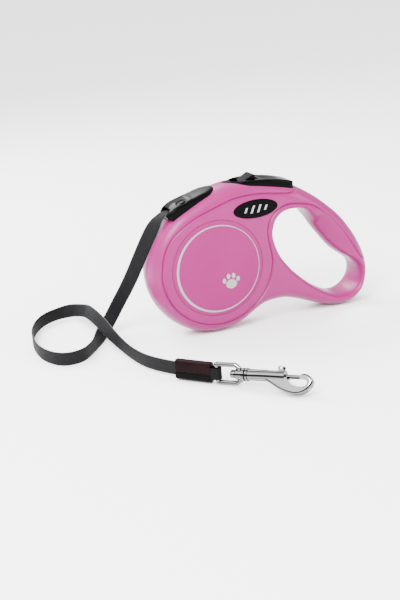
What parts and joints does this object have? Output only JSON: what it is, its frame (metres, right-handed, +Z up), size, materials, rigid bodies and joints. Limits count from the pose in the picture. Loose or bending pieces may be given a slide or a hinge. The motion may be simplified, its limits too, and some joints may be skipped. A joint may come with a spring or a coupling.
{
  "type": "retractable leash",
  "caption": "Hand-held retractable dog leash: rounded housing with hand hole, thumb brake and lock, spring-wound tape drum, and a swivel bolt hook on its drawn-out tape.",
  "frame": {"origin": "middle of the housing's footprint, at the surface it stands on; the tape and the snap are left out of that box", "axes": "+X from the tape outlet towards the hand grip, -Y out of the front face, +Z up"},
  "size_m": [0.2186, 0.2086, 0.0948],
  "materials": {
    "shell_pink": "satin",
    "panel_pink": "satin",
    "badge_silver": "gloss",
    "black_gloss": "gloss",
    "grey_satin": "satin",
    "steel": "satin",
    "inner_plastic": "matte",
    "spring_steel": "satin",
    "webbing": "matte",
    "leather": "matte",
    "chrome": "gloss",
    "zinc": "satin"
  },
  "bodies": {
    "housing": {"front_shell": "shell_pink", "rear_shell": "shell_pink", "case_screws": "zinc", "front_panel": "panel_pink", "rear_panel": "panel_pink", "front_badge": "badge_silver", "rear_badge": "badge_silver", "outlet_collar": "black_gloss", "outlet_guide_pin": "steel", "outlet_plate": "grey_satin", "spool_axle": "steel", "thrust_washers": "inner_plastic", "brake_spring": "spring_steel", "tape": "webbing", "tape_sleeve": "leather", "tape_loop": "webbing"},
    "drum": {"spool": "inner_plastic", "ratchet_flange": "inner_plastic", "spring_cover": "zinc", "power_spring": "spring_steel", "tape_winding": "webbing"},
    "brake": {"brake_button": "black_gloss", "brake_pawl": "steel"},
    "lock": {"lock_slider": "black_gloss"},
    "ring": {"swivel_ring": "chrome"},
    "snap": {"snap_body": "chrome", "swivel_rivet": "chrome", "plunger_spring": "spring_steel"},
    "plunger": {"snap_plunger": "chrome"}
  },
  "joints": [
    {"name": "drum_spin", "type": "hinge", "parent": "housing", "child": "drum", "pos_m": [-0.032, 0, 0.0425], "axis": [0, 1, 0], "continuous": true},
    {"name": "brake_press", "type": "slide", "parent": "housing", "child": "brake", "axis": [-0.1392, 0, -0.9903], "range_m": [0, 0.003], "stiffness_N_per_m": 300, "springref_m": -0.003, "deforming": ["brake_spring"]},
    {"name": "lock_slide", "type": "slide", "parent": "brake", "child": "lock", "axis": [-0.9903, 0, 0.1392], "range_m": [0, 0.003]},
    {"name": "ring_swing", "type": "hinge", "parent": "housing", "child": "ring", "pos_m": [-0.06754, -0.08621, 0.0066], "axis": [-0.0392, 0.0468, 0.9981], "range_deg": [-100, 100]},
    {"name": "snap_swivel", "type": "hinge", "parent": "ring", "child": "snap", "pos_m": [-0.05888, -0.09653, 0.00742], "axis": [0.6416, -0.7646, 0.061], "continuous": true},
    {"name": "plunger_slide", "type": "slide", "parent": "snap", "child": "plunger", "axis": [-0.6416, 0.7646, -0.061], "range_m": [0, 0.006], "stiffness_N_per_m": 250, "springref_m": -0.002, "deforming": ["plunger_spring"]}
  ]
}
